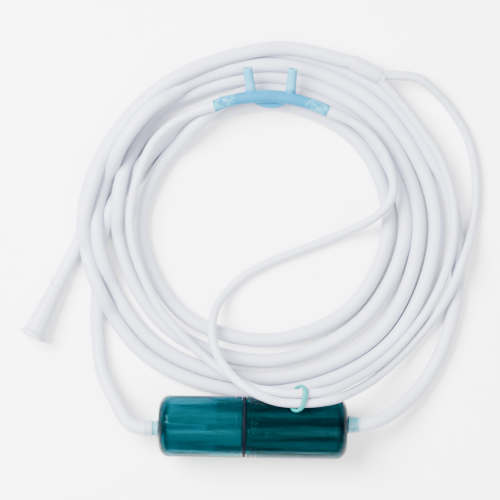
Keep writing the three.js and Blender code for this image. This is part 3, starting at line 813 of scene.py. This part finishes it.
def turned_mesh(name, profile, place, segments=96):
    """An outline of points (along, radius), drawn by extruding a point and spun about its place's X axis."""
    corners = [place @ Vector((x, radius, 0)) for x, radius in profile]
    ends_on_axis = profile[0][1] == 0 and profile[-1][1] == 0
    if not ends_on_axis:
        corners.append(corners[0])
    bpy.ops.object.select_all(action="DESELECT")
    bpy.ops.mesh.primitive_plane_add(size=MM, calc_uvs=False, location=corners[0])
    bpy.ops.object.mode_set(mode="EDIT")
    bpy.ops.mesh.merge(type="CENTER")
    for before, after in zip(corners, corners[1:]):
        bpy.ops.mesh.extrude_vertices_move(TRANSFORM_OT_translate={"value": after - before})
    bpy.ops.mesh.select_all(action="SELECT")
    axis = (place.to_3x3() @ Vector((1, 0, 0))).normalized()
    bpy.ops.mesh.spin(steps=segments, angle=2 * math.pi, center=place.translation, axis=axis)
    bpy.ops.mesh.select_all(action="SELECT")
    bpy.ops.mesh.remove_doubles(threshold=MERGE_REACH)
    bpy.ops.mesh.normals_make_consistent(inside=False)
    bpy.ops.object.mode_set(mode="OBJECT")
    bpy.ops.object.transform_apply(location=True, rotation=True, scale=True)
    bpy.ops.object.shade_smooth_by_angle(angle=SHARP_ANGLE)
    turned = bpy.context.object
    data = turned.data
    data.name = name
    bpy.data.objects.remove(turned)
    map_turned(data, place)
    return data


def map_turned(data, place):
    """Writes a turned mesh's UV map: U round its axis, V the metres along it."""
    to_own = place.inverted()
    own = [to_own @ vertex.co for vertex in data.vertices]
    uv = data.uv_layers.new(name="tube")
    for loop in data.loops:
        x, y, z = own[loop.vertex_index]
        uv.data[loop.index].uv = (math.atan2(z, y) / (2 * math.pi) % 1, x * MM)


def cut_flutes(data, place, start, end):
    """Shallow lengthwise waves on the inside of a trap half, between two places along it."""
    to_own = place.inverted()
    for vertex in data.vertices:
        x, y, z = to_own @ vertex.co
        radius = math.hypot(y, z)
        if start < x < end and radius < TRAP_INNER_R + FLUTE_DEPTH:
            share = 1 - FLUTE_DEPTH * math.cos(FLUTES * math.atan2(z, y)) / radius
            vertex.co = place @ Vector((x, y * share, z * share))


def cut_hole(piece, tool_data):
    """Cuts the tool's shape out of the piece."""
    tool = bpy.data.objects.new("tool", tool_data)
    bpy.context.scene.collection.objects.link(tool)
    cut = piece.modifiers.new("cut", "BOOLEAN")
    cut.operation = "DIFFERENCE"
    cut.solver = "EXACT"
    cut.object = tool
    applied(piece)
    bpy.data.objects.remove(tool)


def melted(name, shapes, voxel_mm, smoothing, material):
    """Several shapes run together into one moulded body with soft inner corners."""
    whole = bmesh.new()
    for shape in shapes:
        whole.from_mesh(shape)
    data = bpy.data.meshes.new(name)
    whole.to_mesh(data)
    whole.free()
    piece = add_piece(name, data, material)
    remesh = piece.modifiers.new("remesh", "REMESH")
    remesh.mode = "VOXEL"
    remesh.voxel_size = voxel_mm * MM
    smooth = piece.modifiers.new("smooth", "CORRECTIVE_SMOOTH")
    smooth.iterations = smoothing
    smooth.use_only_smooth = True
    applied(piece)
    piece.data.materials.clear()
    piece.data.materials.append(material)
    piece.data.polygons.foreach_set("use_smooth", [True] * len(piece.data.polygons))
    return piece


def pushed_in(line_mm, start=0.0, end=0.0):
    """The line made longer at its ends, where it goes into a socket, in millimetres."""
    line = np.array(line_mm, float)
    if start:
        away = line[0] - line[2]
        line = np.vstack([line[0] + away / np.linalg.norm(away) * start, line])
    if end:
        away = line[-1] - line[-3]
        line = np.vstack([line, line[-1] + away / np.linalg.norm(away) * end])
    return line


# Hoses and ear tubes

NOSE_FLARE_R = 2.75
NOSE_FLARE_LENGTH = 13.0
EAR_TUBE_SIDES = 20


def add_supply_hoses(end_connector):
    route = pushed_in(first_hose, SOCKET_DEPTH, SOCKET_DEPTH)
    first = add_piece("supply_hose_first", tube_mesh("supply_hose_first", route, HOSE_R), HOSE_SILICONE)
    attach(first, "root")
    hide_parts("hose_coil", "hose_left_lead")

    route = pushed_in(second_hose, SOCKET_DEPTH, SOCKET_DEPTH)
    second = add_piece("supply_hose_second", tube_mesh("supply_hose_second", route, HOSE_R), HOSE_SILICONE)
    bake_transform(second)
    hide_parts("hose_right_lead", "hose_end_lead")


def add_ear_tubes():
    for side, line in (("right", right_ear), ("left", left_ear)):
        name = f"ear_tube_{side}_silicone"
        line = pushed_in(line, SOCKET_DEPTH, SOCKET_DEPTH)
        run = np.arange(len(line)) * STEP
        flare_places = [0, NOSE_FLARE_LENGTH / 2, NOSE_FLARE_LENGTH]
        radii = np.interp(run, flare_places, [NOSE_FLARE_R, NOSE_FLARE_R, EAR_TUBE_R])
        tube = add_piece(name, tube_mesh(name, line, radii, EAR_TUBE_SIDES), HOSE_SILICONE)
        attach(tube, "root")
        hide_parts(f"ear_tube_{side}")


# Water trap

CAP_GROOVES = (TRAP_CAP_LENGTH - 3.2,)
CUP_GROOVES = (CUP_MOUTH_X + 2.2, CUP_MOUTH_X + 4.4)
CAP_ROWS = (27, 24, 20, 16, 12, 9.5)
CUP_ROWS = (84, 78, 72, 66, 60, 54, 49)
CAP_FLUTES = (TRAP_DOME_DEPTH + 3, TRAP_CAP_LENGTH - TRAP_NECK_LENGTH - 2)
CUP_FLUTES = (50, TRAP_END_X - TRAP_DOME_DEPTH - 3)
TRAP_CHAMFER = 1.0
TRAP_EASING = 0.35
SEAL_EASING = 0.5
CUT_CLEARANCE = 1.0
HOLE_SEGMENTS = 48


def in_trap(x, y):
    turned = Matrix.Translation(at(TRAP_LEFT_END)) @ Matrix.Rotation(TRAP_TURN, 4, "Z")
    return turned @ Matrix.Scale(MM, 4) @ Matrix.Translation((x, y, 0))


def dome(depth, flat_radius, side_radius, count=14):
    points = []
    for i in range(count + 1):
        turn = math.pi / 2 * i / count
        radius = flat_radius + (side_radius - flat_radius) * math.sin(turn)
        points.append((depth * (1 - math.cos(turn)), radius))
    return points


def groove(x):
    """A shallow turned groove in the outside of the trap."""
    half = GROOVE_WIDTH / 2
    low = TRAP_R - GROOVE_DEPTH
    return [(x - half, TRAP_R), (x - half / 2, low), (x + half / 2, low), (x + half, TRAP_R)]


def port_hole(offset, start, end):
    profile = [(start, 0), (start, PORT_HOLE_R), (end, PORT_HOLE_R), (end, 0)]
    return turned_mesh("port_hole", profile, in_trap(0, offset), HOLE_SEGMENTS)


def trap_half(name, profile, flutes):
    place = in_trap(0, 0)
    data = turned_mesh(name, eased(profile, TRAP_EASING), place, TRAP_SEGMENTS)
    cut_flutes(data, place, *flutes)
    return add_piece(name, data, TRAP_TEAL)


def add_trap_cap(outer, inner):
    profile = [(0, 0), *outer]
    for x in CAP_GROOVES:
        profile += groove(x)
    profile += [(TRAP_CAP_LENGTH, TRAP_R), (TRAP_CAP_LENGTH, TRAP_INNER_R)]
    profile += [(x, TRAP_INNER_R) for x in CAP_ROWS]
    profile += [(x + TRAP_END_WALL, r) for x, r in reversed(inner)]
    profile += [(TRAP_END_WALL, 0)]
    cap = trap_half("trap_cap_clear", profile, CAP_FLUTES)
    cut_hole(cap, port_hole(INLET_OFFSET, -CUT_CLEARANCE, TRAP_END_WALL + SHANK_PROUD))
    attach(cap, "root")
    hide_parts("trap_cap")


def add_trap_cup(outer, inner):
    neck_start = CUP_MOUTH_X - TRAP_NECK_LENGTH - SEAL_WIDTH
    step = CUP_MOUTH_X + TRAP_WALL
    end_wall = TRAP_END_X - TRAP_END_WALL
    profile = [(end_wall, 0)]
    profile += [(end_wall - x, r) for x, r in inner]
    profile += [(x, TRAP_INNER_R) for x in CUP_ROWS]
    profile += [
        (step + TRAP_CHAMFER, TRAP_INNER_R), (step, NECK_INNER_R), (neck_start, NECK_INNER_R),
        (neck_start, NECK_OUTER_R), (CUP_MOUTH_X, NECK_OUTER_R), (CUP_MOUTH_X, TRAP_R),
    ]
    for x in CUP_GROOVES:
        profile += groove(x)
    profile += [(TRAP_END_X - x, r) for x, r in reversed(outer)]
    profile += [(TRAP_END_X, 0)]
    cup = trap_half("trap_cup_clear", profile, CUP_FLUTES)
    cut_hole(cup, port_hole(OUTLET_OFFSET, end_wall - SHANK_PROUD, TRAP_END_X + CUT_CLEARANCE))
    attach(cup, "cup_half")
    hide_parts("trap_cup")


def add_trap_seal():
    start = TRAP_CAP_LENGTH + FIT_GAP
    end = start + SEAL_WIDTH
    low = NECK_OUTER_R + FIT_GAP
    high = low + SEAL_DEPTH
    profile = eased([(start, low), (start, high), (end, high), (end, low)], SEAL_EASING)
    data = turned_mesh("trap_seal_ring", profile, in_trap(0, 0), TRAP_SEGMENTS)
    seal = add_piece("trap_seal_ring", data, SEAL_BLACK)
    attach(seal, "cup_half")
    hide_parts("trap_seal")


def add_trap():
    outer = dome(TRAP_DOME_DEPTH, TRAP_FLAT_R, TRAP_R)
    inner = dome(TRAP_DOME_DEPTH - TRAP_WALL, TRAP_FLAT_R - TRAP_WALL, TRAP_INNER_R)
    add_trap_cap(outer, inner)
    add_trap_cup(outer, inner)
    add_trap_seal()


# Ports: distance along from the trap's end wall, radius

INLET_LENGTH = 7.2
INLET_OUTSIDE = [(-INLET_LENGTH, 4.0), (-3.2, 4.0), (-2.6, 3.65), (-1.6, 3.6), (-FIT_GAP, 4.6)]
INLET_DRIP_LENGTH = 24
INLET_DRIP_TIP_R = 1.9
OUTLET_LENGTH = 6.4
OUTLET_OUTSIDE = [
    (FIT_GAP, 4.7), (0.9, 4.5), (1.2, 4.25), (2.7, 4.15), (3.0, 4.0), (3.3, 4.1), (4.3, 3.95),
    (4.6, 3.8), (4.9, 3.95), (OUTLET_LENGTH, 3.85),
]
OUTLET_STUB_LENGTH = 3.5
INLET_EASING = 0.4
OUTLET_EASING = 0.25
PORT_SEGMENTS = 64


def add_inlet():
    socket_end = SOCKET_LENGTH - INLET_LENGTH
    profile = [
        (socket_end, PORT_BORE_R), (socket_end, SOCKET_R), (-INLET_LENGTH, SOCKET_R), *INLET_OUTSIDE,
        (-FIT_GAP, SHANK_R), (TRAP_END_WALL + SHANK_PROUD, SHANK_R), (INLET_DRIP_LENGTH, INLET_DRIP_TIP_R),
        (INLET_DRIP_LENGTH, PORT_BORE_R),
    ]
    place = in_trap(0, INLET_OFFSET)
    data = turned_mesh("trap_inlet_port", eased(profile, INLET_EASING), place, PORT_SEGMENTS)
    inlet = add_piece("trap_inlet_port", data, INLET_SILICONE)
    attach(inlet, "root")
    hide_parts("trap_inlet")


def add_outlet():
    stub_start = -TRAP_END_WALL - OUTLET_STUB_LENGTH
    socket_end = OUTLET_LENGTH - SOCKET_LENGTH
    profile = [
        (stub_start, PORT_BORE_R), (stub_start, SHANK_R), (FIT_GAP, SHANK_R), *OUTLET_OUTSIDE,
        (OUTLET_LENGTH, SOCKET_R), (socket_end, SOCKET_R), (socket_end, PORT_BORE_R),
    ]
    place = in_trap(TRAP_END_X, OUTLET_OFFSET)
    data = turned_mesh("trap_outlet_port", eased(profile, OUTLET_EASING), place, PORT_SEGMENTS)
    outlet = add_piece("trap_outlet_port", data, OUTLET_SILICONE)
    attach(outlet, "cup_half")
    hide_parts("trap_outlet")


# End connector: distance along from the hose's end, radius

SUPPLY_LENGTH = 32.5
SUPPLY_COLLAR_R = 4.25
SUPPLY_FLANGE_R = 6.9
SUPPLY_FLANGE_T = 2.2
SUPPLY_BODY_END = SUPPLY_LENGTH - SUPPLY_FLANGE_T
SUPPLY_BORE_MOUTH_R = 4.6
SUPPLY_BORE_DEEP_R = 4.2
SUPPLY_BORE_DEPTH = 22
SUPPLY_BORE_TAPER = 2
SUPPLY_EASING = 0.4
SUPPLY_OUTSIDE = [
    (0, 4.15), (0.5, SUPPLY_COLLAR_R), (4.4, SUPPLY_COLLAR_R), (5.0, 3.85), (5.6, 3.85), (6.4, 4.0),
    (SUPPLY_BODY_END - 3, 5.45), (SUPPLY_BODY_END - 0.8, 5.6), (SUPPLY_BODY_END, 6.75),
    (SUPPLY_BODY_END + 0.3, SUPPLY_FLANGE_R), (SUPPLY_LENGTH, SUPPLY_FLANGE_R),
]
SUPPLY_START = (-101.75, -29, 4.45)
SUPPLY_HEADING = math.radians(-115.7)
SUPPLY_PITCH = math.asin((SUPPLY_FLANGE_R - SUPPLY_COLLAR_R) / SUPPLY_LENGTH)


def add_supply_connector():
    bore_end = SUPPLY_LENGTH - SUPPLY_BORE_DEPTH
    profile = [
        (SOCKET_LENGTH, HOSE_BORE_D / 2), (SOCKET_LENGTH, SOCKET_R), (0, SOCKET_R), *SUPPLY_OUTSIDE,
        (SUPPLY_LENGTH, SUPPLY_BORE_MOUTH_R), (bore_end, SUPPLY_BORE_DEEP_R),
        (bore_end - SUPPLY_BORE_TAPER, HOSE_BORE_D / 2),
    ]
    place = Matrix.Translation(at(SUPPLY_START)) @ Matrix.Rotation(SUPPLY_HEADING, 4, "Z")
    place = place @ Matrix.Rotation(-SUPPLY_PITCH, 4, "Y") @ Matrix.Scale(MM, 4)
    data = turned_mesh("supply_connector_funnel", eased(profile, SUPPLY_EASING), place)
    piece = add_piece("supply_connector_funnel", data, CONNECTOR_WHITE)
    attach(piece, "root")
    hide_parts("supply_connector")
    return piece


# Branch connector

MOULD_STEP = 0.6
SOCKET_POINTS = 6
BRANCH_TIP = (61.2, 71.0, Y_Z)
BRANCH_UPPER = [(57, 73.6, Y_Z), (64, 73.2, Y_Z), (73.2, 72.6, Y_Z)]
BRANCH_LOWER = [(57.5, 73, Y_Z), (62, 67.6, Y_Z), (67.2, 61.4, Y_Z)]
BRANCH_STUB_R = 2.5
BRANCH_VOXEL = 0.25
BRANCH_SMOOTHING = 3

# The body's radius at shares of its length
BRANCH_SHARES = (0, 0.05, 0.35, 0.6, 0.84, 0.87, 0.93, 1)
BRANCH_RADII = (3.85, 4.05, 4.15, 3.95, 3.75, 3.3, 3.3, 3.0)


def add_branch_connector():
    body = catmull_rom(Y_BODY + [BRANCH_TIP], MOULD_STEP)
    upper = catmull_rom(BRANCH_UPPER, MOULD_STEP)
    lower = catmull_rom(BRANCH_LOWER, MOULD_STEP)
    body_radii = np.interp(np.linspace(0, 1, len(body)), BRANCH_SHARES, BRANCH_RADII)
    shapes = [
        tube_mesh("body", body, body_radii), tube_mesh("upper", upper, BRANCH_STUB_R),
        tube_mesh("lower", lower, BRANCH_STUB_R),
    ]
    piece = melted("branch_connector", shapes, BRANCH_VOXEL, BRANCH_SMOOTHING, CONNECTOR_WHITE)
    for line, radius in ((body, SOCKET_R), (upper[::-1], EAR_SOCKET_R), (lower[::-1], EAR_SOCKET_R)):
        socket = pushed_in(line[:SOCKET_POINTS], start=CUT_CLEARANCE)
        cut_hole(piece, tube_mesh("socket", socket, radius))
    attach(piece, "root")
    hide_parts("y_connector")


# Slide ring

RING_PLACE = (17.5, -87.6, 30.5)
RING_PLAY = 0.6
RING_WIRE = 0.85
RING_HALF_WIDTH = 1.3
RING_LEAN = 0.75
RING_SWING = 0.2
RING_STEPS = 24
RING_SIDES = 16


def add_slide_ring():
    """A leaning band round both ear tubes: two half turns, joined by straight stretches."""
    reach = EAR_TUBE_R + RING_PLAY + RING_WIRE
    mesh = bmesh.new()
    uv = mesh.loops.layers.uv.new("tube")
    rings, places = [], []
    for half, start in ((EAR_TUBE_PITCH / 2, -math.pi / 2), (-EAR_TUBE_PITCH / 2, math.pi / 2)):
        for i in range(RING_STEPS + 1):
            turn = start + math.pi * i / RING_STEPS
            out = Vector((0, math.cos(turn), math.sin(turn)))
            y, z = half + reach * out.y, reach * out.z
            middle = Vector((RING_LEAN * z + RING_SWING * y, y, z)) + Vector(RING_PLACE)
            ring = []
            for k in range(RING_SIDES):
                round_turn = 2 * math.pi * k / RING_SIDES
                point = middle + out * RING_WIRE * math.cos(round_turn)
                point += Vector((RING_HALF_WIDTH * math.sin(round_turn), 0, 0))
                ring.append(mesh.verts.new(at(point)))
            rings.append(ring)
            places.append(len(places) * MM)
    skin_rings(mesh, uv, rings, places, closed_loop=True)
    piece = add_piece("slide_ring_band", mesh_data("slide_ring_band", mesh), RING_AQUA)
    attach(piece, "ring")
    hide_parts("slide_ring")


# Nosepiece

NOSE_VOXEL = 0.3
NOSE_SMOOTHING = 4
NOSE_SOCKET_R = NOSE_FLARE_R + 0.05
PRONG_RISE = 3.5
PRONG_SAG = 0.95
PRONG_BORE_DEPTH = 6
PRONGS = (
    ((-5.6, 62, NOSE_Z), (-7.8, 76.2, NOSE_Z + PRONG_RISE)),
    ((13.5, 61.4, NOSE_Z), (14.8, 75.7, NOSE_Z + PRONG_RISE)),
)
PRONG_BASE_R = 2.65
PRONG_TIP_R = 2.45
LIP_THICKNESS = 1.8
LIP_Z = NOSE_Z - NOSE_BODY_W / 2 + 0.8
LIP_LEFT = ((-8, 60.5), (-3.5, 58.2))
LIP_DIP = (4.3, 54.2)
LIP_RIGHT = ((11.5, 58.4), (16, 60.5))

# The bar's radius at shares of its length
NOSE_SHARES = (0, 0.015, 0.15, 0.22, 0.45, 0.75, 0.83, 0.985, 1)
NOSE_RADII = (3.0, 3.15, 3.1, 2.95, 3.5, 2.95, 3.1, 3.15, 3.0)


def lip_tab():
    """The flat tab under the middle of the bar, a plate with a round lower edge."""
    outline = list(LIP_LEFT)
    left, dip, right = np.array(LIP_LEFT[1]), np.array(LIP_DIP), np.array(LIP_RIGHT[0])
    for t in np.linspace(0.08, 1, 12):
        outline.append(tuple((1 - t) ** 2 * left + 2 * t * (1 - t) * dip + t ** 2 * right))
    outline.append(LIP_RIGHT[1])
    mesh = bmesh.new()
    lower = [mesh.verts.new(at((x, y, LIP_Z))) for x, y in outline]
    upper = [mesh.verts.new(at((x, y, LIP_Z + LIP_THICKNESS))) for x, y in outline]
    mesh.faces.new(lower)
    mesh.faces.new(upper)
    for i in range(len(outline)):
        j = (i + 1) % len(outline)
        mesh.faces.new((lower[i], lower[j], upper[j], upper[i]))
    return mesh_data("lip", mesh)


def prong_middle(base, tip):
    """The prong bends a little below the straight line from its base to its tip."""
    return (np.array(base) + np.array(tip)) / 2 - (0, 0, PRONG_SAG)


def add_nosepiece():
    bar = catmull_rom(NOSE_BAR, MOULD_STEP)
    bar_radii = np.interp(np.linspace(0, 1, len(bar)), NOSE_SHARES, NOSE_RADII)
    shapes = [tube_mesh("bar", bar, bar_radii), lip_tab()]
    for base, tip in PRONGS:
        prong = catmull_rom([base, prong_middle(base, tip), tip], MOULD_STEP)
        shapes.append(tube_mesh("prong", prong, np.linspace(PRONG_BASE_R, PRONG_TIP_R, len(prong))))
    piece = melted("nosepiece_moulding", shapes, NOSE_VOXEL, NOSE_SMOOTHING, NOSE_SILICONE)
    for line in (bar, bar[::-1]):
        socket = pushed_in(line[:SOCKET_POINTS], start=CUT_CLEARANCE)
        cut_hole(piece, tube_mesh("socket", socket, NOSE_SOCKET_R))
    for base, tip in PRONGS:
        away = np.array(tip) - prong_middle(base, tip)
        away /= np.linalg.norm(away)
        bore = [np.array(tip) - away * PRONG_BORE_DEPTH, np.array(tip) + away * CUT_CLEARANCE]
        cut_hole(piece, tube_mesh("bore", bore, PORT_BORE_R))
    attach(piece, "root")
    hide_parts("nosepiece")


add_supply_hoses(add_supply_connector())
add_ear_tubes()
add_trap()
add_inlet()
add_outlet()
add_branch_connector()
add_slide_ring()
add_nosepiece()


# Floor and light

def add_floor():
    bpy.ops.mesh.primitive_plane_add(size=6, location=(0, 0, -0.0002))
    floor = bpy.context.object
    floor.name = "floor"
    material, nodes, links, shader = start_material("white_floor")
    shader.inputs["Base Color"].default_value = (0.97, 0.97, 0.97, 1)
    shader.inputs["Roughness"].default_value = 0.95
    floor.data.materials.append(material)


def add_light(name, place, size, power):
    data = bpy.data.lights.new(name, "AREA")
    data.size = size
    data.energy = power
    light = bpy.data.objects.new(name, data)
    bpy.context.scene.collection.objects.link(light)
    light.location = place
    light.rotation_euler = (Vector((0, 0, 0)) - Vector(place)).to_track_quat("-Z", "Y").to_euler()


def add_world(strength):
    world = bpy.data.worlds.new("studio")
    bpy.context.scene.world = world
    world.use_nodes = True
    background = world.node_tree.nodes["Background"]
    background.inputs["Color"].default_value = (1, 1, 1, 1)
    background.inputs["Strength"].default_value = strength


add_floor()
add_light("key", (-0.7, 0.4, 1.0), size=0.8, power=120)
add_light("fill", (0.55, -0.45, 1.25), size=1.2, power=45)
add_world(0.45)
